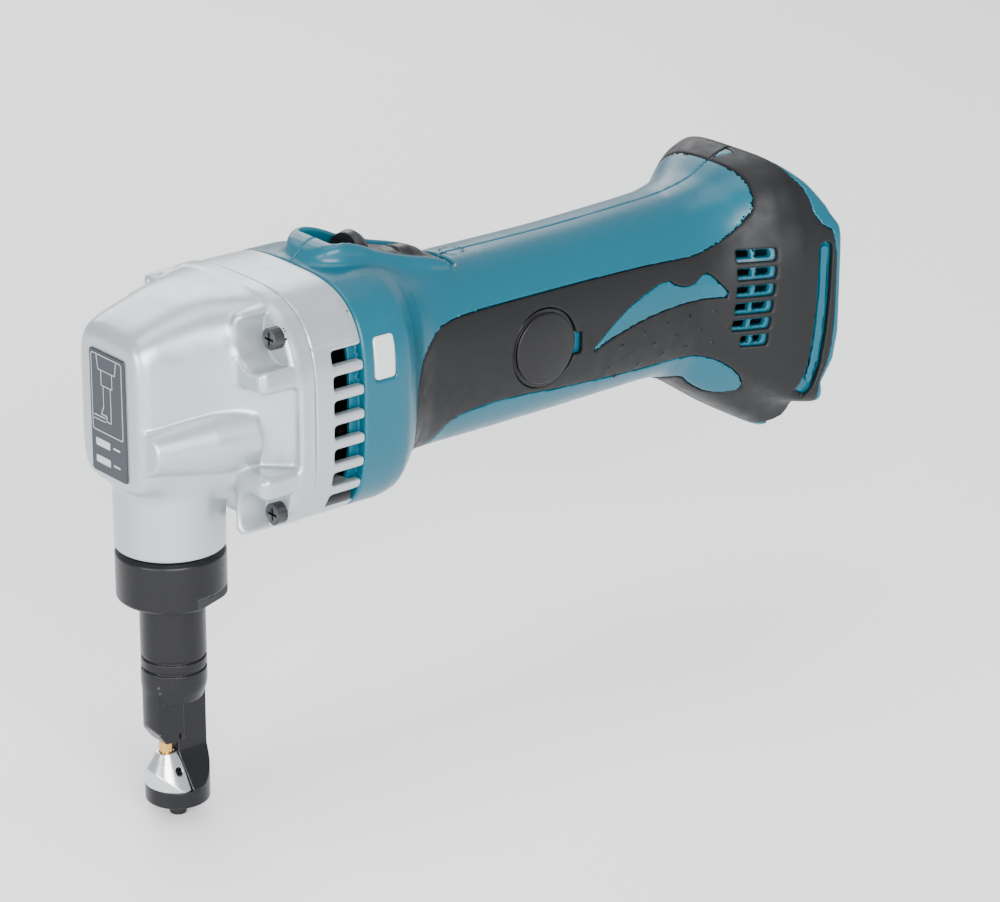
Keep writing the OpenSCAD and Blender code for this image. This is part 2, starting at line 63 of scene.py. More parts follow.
RING_Z = 118.0
RING_HALF = 40.0
RING_N = 3.35
SPLIT_X = 29.4
TEAL_X = 49.0
REAR_X = 259.3
NUT_R = 18.1
TUBE_R = 10.8
PIN_X = -4.2
BRUSH_X = 137.0
COVER_Z = 114.8
CORNER_Y = 32.0
CORNER_Z = 29.5
SHELL = 4.0
GRIP = 2.0
TRACK = (88.0, 152.4, math.radians(15))
KNOB_DROP = 2.3                          # the knob sits this much lower than its CAD node
SLOT_PITCH = 8.2
SLOT_Z = 113.5
VENT_X, VENT_Z, VENT_PITCH = 225.1, 115.2, 6.06
NUT_LOW, NUT_TOP, NUT_FLAT = 55, 72.6, 15.9
NUT_TURN, DIE_TURN = math.radians(70), math.radians(6)
CAP_R = 13.7
DIE_HOLE_Z = -5.6
SCREWS = [(98, 91.5), (152, 91.5), (184, 139), (200, 94), (212, 139), (228, 90)]

# Outer shape by station: x, half-width, top, bottom, squareness of the section
HEAD = [(-22, 17.8, 149.6, 97.6, 5), (-14, 19.2, 152.4, 96, 4.6), (-6, 21, 154.8, 95, 4.2),
        (4, 23.6, 157.2, 93.5, 4), (13, 27.4, 158, 90, 3.8), (19, 32, 158, 85, 3.6),
        (24, 36.6, 158, 80.6, 3.4), (SPLIT_X, 39.7, 158, 78.3, 3.35)]
HANDLE = [(TEAL_X, 40, 158, 78, 3.35), (60, 40, 158, 78, 3.35), (66, 39.4, 157.6, 78.6, 3.3),
          (72, 36.2, 156.6, 80.8, 3.1), (78, 30.6, 155.2, 83, 2.9), (84, 26.4, 153.4, 84.2, 2.8),
          (91, 24.4, 151.4, 84.6, 2.6), (100, 24, 149.2, 84.5, 2.5), (112, 24, 147.6, 84.5, 2.5),
          (150, 24, 147.4, 84.8, 2.5), (190, 24.2, 148.4, 85.5, 2.5), (206, 24.8, 149.2, 84, 2.5),
          (215, 26, 150.6, 80, 2.6), (222, 28, 152.4, 77, 2.8), (229, 31, 156, 75, 3.2),
          (236, 33.6, 158.8, 74, 3.6), (244, 35, 160, 73, 3.8), (REAR_X, 35, 160, 72, 3.8)]
FLARE = [(200, 16, 126, 98, 3), (210, 23.6, 130, 92, 3.2), (220, 29.8, 133.5, 85, 3.6),
         (232, 34.8, 136.5, 77, 4.6), (244, 38.4, 138.8, 71.5, 7), (REAR_X, 39.8, 139.6, 70.5, 12)]
KEEL = [(205, 14, 100, 84, 3), (215, 17, 100, 78, 3.4), (226, 19.5, 100, 70, 4),
        (238, 20.8, 100, 62, 4.6), (249, 21.2, 100, 56.6, 5), (REAR_X, 21.2, 100, 56.4, 5)]


# ---- Solid fields: negative inside ----

def smin(a, b, k):
    """Smallest of two fields, with a fillet about k wide."""
    h = np.maximum(k - np.abs(a - b), 0) / k
    return np.minimum(a, b) - h * h * k * 0.25


def smax(a, b, k):
    return -smin(-a, -b, k)


def cut(a, b, k=0.8):
    """Field a without b, with a rounded edge."""
    return smax(a, -b, k)


def box(x, y, z, low, high, r=0.8):
    q = [np.abs(c - (a + b) / 2) - (b - a) / 2 + r for c, a, b in zip((x, y, z), low, high)]
    outside = np.sqrt(sum(np.maximum(c, 0) ** 2 for c in q))
    return outside + np.minimum(np.maximum(np.maximum(q[0], q[1]), q[2]), 0) - r


def rod(u, v, w, r, low, high, k=0.6):
    """Cylinder about the w axis."""
    return smax(np.hypot(u, v) - r, np.abs(w - (low + high) / 2) - (high - low) / 2, k)


def smooth_table(table, step=0.5):
    """Dense samples of a table of stations, along a smooth curve without overshoot."""
    t = np.array(table, float)
    xs = np.arange(t[0, 0], t[-1, 0] + step, step)
    cols = [xs]
    for k in range(1, t.shape[1]):
        h = np.diff(t[:, 0])
        slope = np.diff(t[:, k]) / h
        m = np.zeros(len(t))
        for i in range(1, len(t) - 1):
            if slope[i - 1] * slope[i] > 0:
                m[i] = 2 * slope[i - 1] * slope[i] / (slope[i - 1] + slope[i])
        i = np.clip(np.searchsorted(t[:, 0], xs, side="right") - 1, 0, len(t) - 2)
        s = np.clip((xs - t[i, 0]) / h[i], 0, 1)
        cols.append(t[i, k] * (2 * s**3 - 3 * s**2 + 1) + t[i + 1, k] * (3 * s**2 - 2 * s**3)
                    + h[i] * (m[i] * (s**3 - 2 * s**2 + s) + m[i + 1] * (s**3 - s**2)))
    return cols


SECTIONS = {name: smooth_table(t) for name, t in
            {"head": HEAD, "handle": HANDLE, "flare": FLARE, "keel": KEEL}.items()}


def oval(y, z, w, mid, half, n):
    """Distance-like field of a superelliptic section."""
    yy = np.abs(y) / w + 1e-6
    zz = np.abs(z - mid) / half + 1e-6
    rho = (yy**n + zz**n) ** (1 / n)
    steep = rho ** (1 - n) * np.hypot(yy ** (n - 1) / w, zz ** (n - 1) / half)
    return (rho - 1) / np.maximum(steep, 0.7 / np.maximum(w, half))


def loft(name, x, y, z):
    xs, w, top, low, n = SECTIONS[name]
    w, top, low, n = (np.interp(x, xs, c) for c in (w, top, low, n))
    return oval(y, z, w, (top + low) / 2, (top - low) / 2, n)


def ring_section(y, z):
    return oval(y, z, RING_HALF, RING_Z, RING_HALF, RING_N)


def polygon(u, v, points):
    """Signed distance to a polygon in a plane."""
    d = None
    inside = None
    for (au, av), (bu, bv) in zip(points, points[1:] + points[:1]):
        eu, ev = bu - au, bv - av
        t = np.clip(((u - au) * eu + (v - av) * ev) / (eu * eu + ev * ev), 0, 1)
        q = np.hypot(u - au - t * eu, v - av - t * ev)
        crosses = ((av > v) != (bv > v)) & (u < au + (v - av) * eu / (ev if ev else 1e-9))
        d = q if d is None else np.minimum(d, q)
        inside = crosses if inside is None else inside ^ crosses
    return np.where(inside, -d, d)


def path_distance(u, v, points):
    d = None
    for (au, av), (bu, bv) in zip(points, points[1:]):
        eu, ev = bu - au, bv - av
        t = np.clip(((u - au) * eu + (v - av) * ev) / (eu * eu + ev * ev), 0, 1)
        q = np.hypot(u - au - t * eu, v - av - t * ev)
        d = q if d is None else np.minimum(d, q)
    return d


def rounded(points, passes=2):
    """Corner-cutting of a closed outline, so that it runs in smooth curves."""
    for _ in range(passes):
        points = [p for a, b in zip(points, points[1:] + points[:1]) for p in
                  ((a[0] * 0.75 + b[0] * 0.25, a[1] * 0.75 + b[1] * 0.25),
                   (a[0] * 0.25 + b[0] * 0.75, a[1] * 0.25 + b[1] * 0.75))]
    return points


# ---- Meshing ----

BLOCK = 14
CORNERS = [(i, j, k) for i in (0, 1) for j in (0, 1) for k in (0, 1)]
EDGES = [(a, b) for a in range(8) for b in range(a + 1, 8)
         if sum(abs(p - q) for p, q in zip(CORNERS[a], CORNERS[b])) == 1]


def sample(field, low, cell, count):
    """Field values on a grid, worked out only in blocks that the surface may cross."""
    blocks = np.ceil((count - 1) / BLOCK).astype(int)
    shape = blocks * BLOCK + 1
    centre = [low[a] + cell * BLOCK * (np.arange(blocks[a]) + 0.5) for a in range(3)]
    rough = field(centre[0][:, None, None], centre[1][None, :, None], centre[2][None, None, :])
    rough = np.broadcast_to(rough, blocks)
    values = np.full(shape, 1e3, np.float32)
    near = np.abs(rough) < cell * BLOCK * 1.35
    step = np.arange(BLOCK + 1) * cell
    for i, j, k in np.ndindex(*blocks):
        span = tuple(slice(c * BLOCK, c * BLOCK + BLOCK + 1) for c in (i, j, k))
        if not near[i, j, k] and rough[i, j, k] < 0:
            values[span] = -1e3
    for i, j, k in np.argwhere(near):
        span = tuple(slice(c * BLOCK, c * BLOCK + BLOCK + 1) for c in (i, j, k))
        o = [low[a] + cell * BLOCK * c for a, c in enumerate((i, j, k))]
        values[span] = field((o[0] + step)[:, None, None], (o[1] + step)[None, :, None],
                             (o[2] + step)[None, None, :])
    return values


def gradient(field, p, e=0.04):
    g = np.empty_like(p)
    for a in range(3):
        up, down = p.copy(), p.copy()
        up[:, a] += e
        down[:, a] -= e
        g[:, a] = (field(*up.T) - field(*down.T)) / (2 * e)
    return g


def net(field, low, high, cell):
    """Surface net of a field: points on its surface, and quads."""
    low = np.array(low, float) - 2 * cell
    count = np.ceil((np.array(high, float) + 2 * cell - low) / cell).astype(int) + 1
    v = sample(field, low, cell, count)
    inside = v < 0
    corner = [v[i:v.shape[0] - 1 + i, j:v.shape[1] - 1 + j, k:v.shape[2] - 1 + k]
              for i, j, k in CORNERS]
    total = sum((c < 0).astype(np.int8) for c in corner)
    mixed = (total > 0) & (total < 8)
    at = np.argwhere(mixed)
    c = np.stack([q[mixed] for q in corner])
    sums = np.zeros((len(at), 3))
    hits = np.zeros(len(at))
    for a, b in EDGES:
        cross = (c[a] < 0) != (c[b] < 0)
        t = np.where(cross, c[a] / np.where(cross, c[a] - c[b], 1), 0)
        pa, pb = np.array(CORNERS[a], float), np.array(CORNERS[b], float)
        sums += np.where(cross[:, None], pa + (pb - pa) * t[:, None], 0)
        hits += cross
    p = low + cell * (at + sums / hits[:, None])
    for _ in range(3):
        g = gradient(field, p)
        d = np.clip(field(*p.T), -0.5 * cell, 0.5 * cell)
        p -= (d / np.maximum((g**2).sum(1), 0.2))[:, None] * g
    index = np.full(mixed.shape, -1, np.int64)
    index[mixed] = np.arange(len(at))
    quads = []
    for axis in range(3):
        u, w = (axis + 1) % 3, (axis + 2) % 3
        a = np.take(inside, range(v.shape[axis] - 1), axis)
        b = np.take(inside, range(1, v.shape[axis]), axis)
        e = np.argwhere(a != b)
        keep = np.all((e[:, [u, w]] > 0) & (e[:, [u, w]] < np.array(v.shape)[[u, w]] - 1), 1)
        e = e[keep]
        flip = ~a[tuple(e.T)]
        ring = []
        for du, dw in ((-1, -1), (0, -1), (0, 0), (-1, 0)):
            q = e.copy()
            q[:, u] += du
            q[:, w] += dw
            ring.append(index[tuple(q.T)])
        q = np.stack(ring, 1)
        q[flip] = q[flip][:, ::-1]
        quads.append(q)
    return p, np.concatenate(quads)


def mesh_object(name, points, faces, material, normals):
    mesh = bpy.data.meshes.new(name)
    mesh.from_pydata((points * MM).tolist(), [], faces.tolist())
    mesh.validate()
    mesh.polygons.foreach_set("use_smooth", np.ones(len(mesh.polygons), bool))
    mesh.materials.append(material)
    obj = bpy.data.objects.new(name, mesh)
    bpy.context.scene.collection.objects.link(obj)
    if len(mesh.vertices) == len(normals):
        mesh.normals_split_custom_set_from_vertices(normals.tolist())
    return obj


def solid(name, field, low, high, cell, material, body, replaces=None):
    """A piece of the tool made from a field, riding on a body."""
    p, quads = net(field, low, high, cell * COARSE)
    g = gradient(field, p)
    g /= np.maximum(np.linalg.norm(g, axis=1), 1e-6)[:, None]
    obj = mesh_object(name, p, quads, material, g)
    return place(obj, body, replaces)


def place(obj, body, replaces=None):
    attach(obj, body)
    if replaces:
        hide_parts(replaces)
    return obj


# ---- Materials ----

def srgb(r, g, b):
    return tuple(((c / 255 + 0.055) / 1.055) ** 2.4 if c > 10 else c / 255 / 12.92
                 for c in (r, g, b)) + (1,)


class Surface:
    """One procedural material, put together from a few layers."""

    def __init__(self, name, colour, rough, metal=0.0, coat=0.0):
        self.mat = bpy.data.materials.new(name)
        self.mat.use_nodes = True
        self.tree = self.mat.node_tree
        self.shader = self.tree.nodes["Principled BSDF"]
        self.shader.inputs["Metallic"].default_value = metal
        self.shader.inputs["Coat Weight"].default_value = coat
        self.shader.inputs["Coat Roughness"].default_value = 0.25
        self.where = self.node("ShaderNodeTexCoord").outputs["Object"]
        self.base = colour
        self.rough = rough
        self.colour = None
        self.normal = None

    def node(self, kind, **sockets):
        n = self.tree.nodes.new(kind)
        for key, value in sockets.items():
            n.inputs[key.replace("_", " ")].default_value = value
        return n

    def link(self, a, b):
        self.tree.links.new(a, b)

    def noise(self, scale, detail=3.0, stretch=None):
        n = self.node("ShaderNodeTexNoise", Scale=scale, Detail=detail)
        if stretch:
            m = self.node("ShaderNodeMapping", Scale=stretch)
            self.link(self.where, m.inputs["Vector"])
            self.link(m.outputs["Vector"], n.inputs["Vector"])
        else:
            self.link(self.where, n.inputs["Vector"])
        return n.outputs["Fac"]

    def spread(self, value, low, high, start=0.3, end=0.7):
        m = self.node("ShaderNodeMapRange", From_Min=start, From_Max=end, To_Min=low, To_Max=high)
        self.link(value, m.inputs["Value"])
        return m.outputs["Result"]

    def tint(self, amount, other):
        """Mixes another colour over the present one, by a 0 to 1 value."""
        m = self.node("ShaderNodeMix")
        m.data_type = "RGBA"
        self.link(amount, m.inputs[0])
        if self.colour is None:
            m.inputs[6].default_value = self.base
        else:
            self.link(self.colour, m.inputs[6])
        m.inputs[7].default_value = other
        self.colour = m.outputs[2]
        return self

    def shades(self, scale=60.0, depth=0.14, stretch=None):
        """Slow changes of tone across the surface."""
        other = tuple(c * (1 - depth * 2.2) for c in self.base[:3]) + (1,)
        return self.tint(self.spread(self.noise(scale, 4.0, stretch), 0, 0.5), other)

    def worn(self, other, start=0.53, end=0.62, most=0.5):
        """Lighter or darker edges, where hands and handling rub."""
        point = self.node("ShaderNodeNewGeometry").outputs["Pointiness"]
        return self.tint(self.spread(point, 0, most, start, end), other)

    def polish(self, scale=90.0, change=0.08, stretch=None):
        """Uneven gloss, from handling or from the tool marks."""
        low, high = self.rough - change, self.rough + change
        out = self.spread(self.noise(scale, 5.0, stretch), max(low, 0.03), high)
        self.link(out, self.shader.inputs["Roughness"])
        return self

    def relief(self, scale, height, strength=0.3, detail=2.0, stretch=None):
        """Fine bumps; height in millimetres."""
        b = self.node("ShaderNodeBump", Strength=strength, Distance=height * MM)
        self.link(self.noise(scale, detail, stretch), b.inputs["Height"])
        if self.normal is not None:
            self.link(self.normal, b.inputs["Normal"])
        self.normal = b.outputs["Normal"]
        return self

    def done(self):
        if self.colour is None:
            self.shader.inputs["Base Color"].default_value = self.base
        else:
            self.link(self.colour, self.shader.inputs["Base Color"])
        if self.normal is not None:
            self.link(self.normal, self.shader.inputs["Normal"])
        return self.mat


def ground(name, colour, rough=0.28, along=(1, 1, 14), metal=1.0):
    """Turned or ground metal, with fine marks across one direction."""
    s = Surface(name, colour, rough, metal)
    s.shades(70, 0.08).polish(900, 0.09, along).relief(1500, 0.02, 0.25, 3.0, along)
    return s.worn(tuple(min(1, c * 1.5 + 0.04) for c in colour[:3]) + (1,)).done()


SILVER = Surface("silver_paint", srgb(171, 178, 181), 0.34, 0.6, 0.2)
SILVER.shades(25, 0.04).polish(140, 0.05).relief(2600, 0.02, 0.22)
SILVER = SILVER.relief(500, 0.03, 0.12).worn(srgb(232, 236, 238), most=0.35).done()
TEAL = Surface("teal_shell", srgb(0, 80, 98), 0.32, 0.0, 0.06)
TEAL.shader.inputs["Specular IOR Level"].default_value = 0.36
TEAL = TEAL.shades(20, 0.05).polish(160, 0.06).relief(3200, 0.02, 0.3).relief(90, 0.05, 0.04) \
    .worn(srgb(24, 122, 142), most=0.25).done()
RUBBER = Surface("grip_rubber", srgb(15, 16, 18), 0.5)
RUBBER.shader.inputs["Specular IOR Level"].default_value = 0.3
RUBBER = RUBBER.shades(30, 0.07).polish(220, 0.07).relief(2400, 0.05, 0.45) \
    .relief(700, 0.04, 0.15).worn(srgb(34, 36, 38), most=0.3).done()
BLACK = Surface("black_plastic", srgb(12, 12, 14), 0.36)
BLACK.shader.inputs["Specular IOR Level"].default_value = 0.35
BLACK = BLACK.shades(50, 0.08).polish(250, 0.07).relief(2600, 0.03, 0.3) \
    .worn(srgb(34, 34, 36), most=0.3).done()
OXIDE = Surface("black_oxide", srgb(30, 30, 33), 0.34, 0.6)
OXIDE = OXIDE.shades(60, 0.12).polish(500, 0.1, (1, 1, 9)).relief(1600, 0.02, 0.25) \
    .worn(srgb(96, 96, 100), most=0.4).done()
DIE_STEEL = ground("tool_steel", srgb(214, 216, 218), 0.24)
GOLD = ground("gold_steel", srgb(214, 170, 92), 0.22)
STEEL = ground("steel", srgb(180, 183, 186), 0.3)
ZINC = ground("zinc_screw", srgb(190, 192, 190), 0.33, (1, 9, 1))
BLACK_SCREW = ground("black_screw", srgb(52, 52, 55), 0.36, (6, 1, 1), 0.8)
BRONZE = ground("bronze", srgb(172, 128, 78), 0.34)
COPPER = ground("copper", srgb(190, 104, 62), 0.34, (12, 1, 1))
LAMINATION = ground("lamination", srgb(128, 130, 134), 0.4, (40, 1, 1))
BRASS = ground("brass_blade", srgb(206, 168, 92), 0.25)
FERRITE = Surface("ferrite", srgb(44, 43, 44), 0.6)
FERRITE = FERRITE.shades(200, 0.15).polish(400, 0.1).relief(1800, 0.05, 0.4).done()
PHENOLIC = Surface("phenolic", srgb(96, 62, 40), 0.45)
PHENOLIC = PHENOLIC.shades(260, 0.2).polish(300, 0.08).relief(1500, 0.03, 0.3).done()
CARBON = Surface("carbon", srgb(36, 36, 38), 0.7)
CARBON = CARBON.shades(500, 0.2).polish(500, 0.1).relief(2200, 0.05, 0.5).done()
WIRE = Surface("wire", srgb(44, 44, 46), 0.45)
WIRE = WIRE.shades(120, 0.1).polish(300, 0.08).relief(1200, 0.02, 0.2).done()
LENS = Surface("lens", srgb(206, 210, 210), 0.3, 0.0, 0.4)
LENS.shader.inputs["Transmission Weight"].default_value = 0.15
LENS = LENS.shades(150, 0.05).polish(300, 0.06).relief(900, 0.04, 0.15).done()
LABEL = Surface("label", srgb(188, 194, 198), 0.34, 0.7)
LABEL = LABEL.shades(60, 0.05).polish(700, 0.07, (1, 1, 16)).relief(1800, 0.01, 0.2, 2.0,
                                                                  (1, 1, 16)).done()
PLATE = Surface("label_dark", srgb(44, 51, 58), 0.4, 0.3)
PLATE = PLATE.shades(60, 0.06).polish(700, 0.07, (1, 1, 16)).relief(1500, 0.01, 0.2).done()
SLOTS = {"silver_paint": SILVER, "teal_shell": TEAL, "grip_rubber": RUBBER, "label": LABEL,
         "black_plastic": BLACK, "black_oxide": OXIDE, "tool_steel": DIE_STEEL,
         "gold_steel": GOLD, "steel": STEEL, "zinc_screw": ZINC, "black_screw": BLACK_SCREW,
         "bronze": BRONZE, "copper": COPPER, "lamination": LAMINATION, "ferrite": FERRITE,
         "phenolic": PHENOLIC, "carbon": CARBON, "brass_blade": BRASS, "wire": WIRE,
         "lens": LENS}


# ---- Gear housing and vent ring ----

def screw_radius(y, z):
    return np.hypot(np.abs(y) - CORNER_Y, np.abs(z - RING_Z) - CORNER_Z)


def gear_casting(x, y, z):
    a = np.abs(y)
    up = np.abs(z - RING_Z)
    ring = ring_section(y, z)
    head = loft("head", x, y, z)
    outside = smax(head, -21.6 - x, 4.5)
    swell = np.interp(x, (-20, 0, 14), (7.2, 10.6, 12.3))
    middle = np.interp(x, (-20, 14), (16.7, 19.5))
    boss = smax(np.hypot(y + middle, z - 113.7) - swell, np.abs(x + 2.6) - 17.5, 1)
    outside = smin(outside, boss, 1.4)
    neck = rod(x, y, z, NUT_R, 73, 104, 1.2)
    outside = smin(outside, neck, 4)
    lug = smax(smax(ring, 9.2 - x, 3.5), 13.6 - up, 3)
    lug = smax(lug, 21 - a, 5)
    outside = smin(outside, lug, 1.6)
    outside = smin(outside, smax(ring, 23.6 - x, 1.6), 1.6)
    pocket = np.hypot(a - 33.5, up - 30) - 9.4
    outside = cut(outside, smax(pocket, x - 21, 0.6), 1.6)
    outside = np.minimum(outside, rod(x, y, z, 15, 60.2, 75))
    hollow = smax(smax(head + SHELL, -17.6 - x, 2), x - 31, 0.5)
    hollow = cut(hollow, smax(pocket - 2.6, x - 23.6, 0.5), 0.5)
    hollow = np.minimum(hollow, box(x, y, z, (-10.9, -10.9, 100), (9, 10.9, 152.2), 0.8))
    hollow = smin(hollow, rod(x, y, z, 11.1, 62, 110), 1.5)
    hollow = np.minimum(hollow, rod(x, y, z, 14.3, 55, 62.6))
    hollow = np.minimum(hollow, smax(screw_radius(y, z) - 2.4, ring + 0.8, 0.2))
    return smax(cut(outside, hollow, 0.6), x - SPLIT_X + 0.1, 0.5)


def ring_casting(x, y, z):
    a = np.abs(y)
    ring = ring_section(y, z)
    d = smax(smax(ring, -(ring + 3.5), 0.8), np.abs(x - (SPLIT_X + TEAL_X) / 2) - 9.7, 1)
    lug = smax(screw_radius(y, z) - 6.5, np.abs(x - 38) - 8, 1)
    d = smin(d, smax(lug, ring + 0.3, 0.5), 1.5)
    dz = z - SLOT_Z
    dz = dz - SLOT_PITCH * np.clip(np.round(dz / SLOT_PITCH), -3, 3)
    slot = smax(np.abs(dz) - 2.4, 37 - x, 1.6)
    d = cut(d, smax(slot, 30 - a, 0.5), 1.1)
    return np.maximum(d, np.minimum(2.4 - screw_radius(y, z), -(ring + 0.8)))


# ---- Motor and handle housing ----

REAR = [(20, 190), (238, 190), (241, 162), (244, 158.6), (251, 151.6), (257.5, 143), (REAR_X, 137),
        (REAR_X, 98), (257.5, 88), (252.6, 80), (256, 66), (255.4, 57), (251, 50), (20, 30)]
HOOD = rounded([(49, 150), (50.2, 158.6), (54.4, 162.6), (59, 164.2), (64, 164), (70, 162),
                (77, 158.4), (88, 154.6), (100, 151.4), (106, 149), (106, 146)], 1)
GRIP_EDGE = rounded([(74.5, 108), (76, 115), (81, 122.4), (88, 128.6), (95, 133.2), (120, 133.6),
                     (150, 133.6), (180, 133.6), (200, 132.8), (208, 133.2), (218, 136.4),
                     (226.4, 142.7), (229.6, 147.5), (231, 156), (231, 175),
                     (242, 175), (243.5, 156), (249, 149), (250.5, 139), (256.4, 135),
                     (256.4, 100), (254.5, 88), (250, 79), (253.6, 66), (250, 61), (215, 56),
                     (196, 76), (200, 86), (206, 87), (212, 81.5), (218, 78), (224, 77.6),
                     (227.5, 79), (225, 84.5), (220, 89.5), (214, 93.5), (205, 96), (183, 95.6),
                     (150, 97.4), (123, 100.2), (104, 99.4), (97, 96), (94, 91), (92.6, 86.6),
                     (88, 88), (82, 92.6), (76.6, 100.8)], 1)
LEAF = rounded([(156.6, 107.6), (166.2, 115.8), (177, 122.6), (191.4, 127.6), (196.4, 123.6),
                (202.8, 122.6), (208.4, 126.6), (211.2, 124.6), (217.4, 116.8), (209.6, 117.2),
                (196.4, 117.2), (180.5, 115.4), (166.3, 111.6)], 1)
PATCH = [(232.6, -1), (238, -5.4), (239.4, 0.6)]
KNOB = [(-18, 1.4), (-18, 8.2), (-15.6, 9.5), (-13.2, 8.6), (-11.4, 5.4), (-7.5, 3.2), (-3, 2.9),
        (1, 3.6), (4, 5.2), (7.5, 6.1), (12, 5.4), (16, 3.8), (17.4, 1.6)]


def track(x, z):
    """Place along and above the sloping switch track."""
    ox, oz, tilt = TRACK
    dx, dz = x - ox, z - oz
    return (dx * math.cos(tilt) - dz * math.sin(tilt), dx * math.sin(tilt) + dz * math.cos(tilt))


def skin(x, y, z):
    """Outer surface of the housing and its grips."""
    flare = smax(loft("flare", x, y, z), 200 - x, 8)
    d = smin(loft("handle", x, y, z), flare, 7)
    d = smin(d, smax(loft("keel", x, y, z), 206 - x, 6), 9)
    hood = smax(polygon(x, z, HOOD), np.hypot(np.minimum(x - 64, 0), y) - 13.2, 3)
    d = smin(d, hood, 3)
    return smax(d, polygon(x, z, REAR), 3)


def vent_windows(x, z):
    """Six rows of slots on each side of the foot; the lowest is shorter."""
    dz = z - VENT_Z
    row = np.clip(np.round(dz / VENT_PITCH + 0.5), -2, 3) - 0.5
    short = np.where(row < -2, 1.8, 0)
    dx = x - VENT_X - 0.11 * (z - 116) - short
    return dx, smax(np.abs(dx) - 6.5 + short, np.abs(dz - VENT_PITCH * row) - 2.1, 1.2)


def slot_band(x, z):
    """Distance to the middle of the slot along each side of the foot."""
    return path_distance(x, z, [(251.4, 129.5), (251, 112), (250, 100), (248.2, 88), (245.4, 80),
                                (241, 73)])


def teal_housing(x, y, z, side):
    a = np.abs(y)
    s = skin(x, y, z)
    ring = ring_section(y, z)
    d = smax(s, TEAL_X - x, 1.2)
    sleeve = smax(smax(ring + 3.9, -(ring + 5.6), 0.4), np.abs(x - 48.5) - 3, 0.4)
    region = polygon(x, z, GRIP_EDGE)
    leaf = polygon(x, z, LEAF)
    cover = smax(cut(region, leaf, 0.4), -(s + GRIP + 0.1), 0.4)
    cover = cut(cover, smax(polygon(x, y, PATCH), 140 - z, 0.4), 0.4)
    d = cut(d, cover, 0.3)
    strip = smax(smax(slot_band(x, z) - 1.5, -(a - 37.2), 0.3), s + 0.7, 0.3)
    d = smin(d, strip, 0.3)
    hollow = smax(smax(s + SHELL + 0.3, x - 240, 3), 46 - x, 0.5)
    d = cut(d, hollow, 1)
    d = np.minimum(d, sleeve)
    channel = np.minimum(box(x, y, z, (246, -31, 44), (254.5, 31, 139), 2),
                         box(x, y, z, (250, -27, 44), (270, 27, 134), 2))
    d = cut(d, channel, 0.8)
    d = cut(d, box(x, y, z, (236, -14.2, 83.8), (247, 14.2, 128.2), 0.5), 0.4)
    u, v = track(x, z)
    d = cut(d, box(u, y, v, (-30, -9.4, -1.7), (23, 9.4, 30), 1.4), 1.2)
    mark = np.abs(np.hypot(x - 116, y) - 4) - 0.35
    d = cut(d, smax(mark, 140 - z - np.minimum(s + 0.4, 0) * 400, 0.1), 0.2)
    d = cut(d, box(u, y, v, (-16, -4.4, -14), (12, 4.4, 5), 0.6), 0.4)
    d = cut(d, box(x, a, z, (53.1, 38, 127.1), (61.7, 50, 142.1), 1.6), 0.6)
    d = cut(d, rod(x - BRUSH_X, z - COVER_Z, a, CAP_R + 0.1, 20.6, 40, 0.3), 0.3)
    across, window = vent_windows(x, z)
    d = cut(d, smax(smax(window + 0.9, 0.7 - np.abs(across), 0.3), 23 - a, 0.4), 0.4)
    if side > 0:
        for sx, sz in SCREWS:
            d = np.maximum(d, -rod(x - sx, z - sz, y, 3.6, 11.8, 50, 0.2))
    return smax(d, 0.04 - y * side, 0.5)


def grip(x, y, z, side):
    a = np.abs(y)
    s = skin(x, y, z)
    region = polygon(x, z, GRIP_EDGE) + 0.06
    d = smax(smax(s - 0.12, -(s + GRIP), 0.3), region, 0.9)
    lz = (z + 4 * np.clip((200 - x) / 28, 0, 2) ** 2 - 112) / 5.9
    row = np.clip(np.round(lz), -2, 0)
    lx = (x - 191) / 10 + row / 2
    spot = np.hypot((lx - np.round(lx)) * 10, (lz - row) * 5.9)
    spot = smax(smax(spot - 0.6, s - 0.5, 0.3), np.abs(x - 192) - 28, 0.3)
    d = smin(d, spot, 0.4)
    d = cut(d, polygon(x, z, LEAF) - 0.12, 0.5)
    d = cut(d, smax(polygon(x, y, PATCH), 140 - z, 0.4), 0.6)
    d = cut(d, rod(x - BRUSH_X, z - COVER_Z, a, CAP_R + 0.2, 15, 40, 0.3), 0.8)
    d = cut(d, box(x, a, z, (148.6, 15, 109.6), (153.4, 40, 117.4), 0.8), 0.5)
    d = cut(d, smax(vent_windows(x, z)[1], 22 - a, 0.4), 0.8)
    d = cut(d, smax(slot_band(x, z) - 3, 35 - a, 0.4), 0.6)
    if side > 0:
        for sx, sz in SCREWS:
            d = smax(d, -rod(x - sx, z - sz, y, 4, 11, 50, 0.2), 0.6)
    return smax(d, 0.04 - y * side, 0.5)


# ---- Turned and ground parts ----

def nut(x, y, z):
    d = smax(np.hypot(x, y) - NUT_R, np.abs(z - 63.8) - 8.8, 0.4)
    d = smax(d, (np.hypot(x, y) + z - NUT_R - NUT_TOP + 1.6) * 0.707, 0.4)
    d = smax(d, (np.hypot(x, y) - z - NUT_R + NUT_LOW + 0.9) * 0.707, 0.4)
    across = x * math.cos(NUT_TURN) - y * math.sin(NUT_TURN)
    d = cut(d, smax(NUT_FLAT - np.abs(across), z - 59.3, 0.4), 0.4)
    d = np.maximum(d, -rod(x, y, z, 15.6, 57.7, 80, 0.2))
    return np.maximum(d, TUBE_R + 0.2 - np.hypot(x, y))


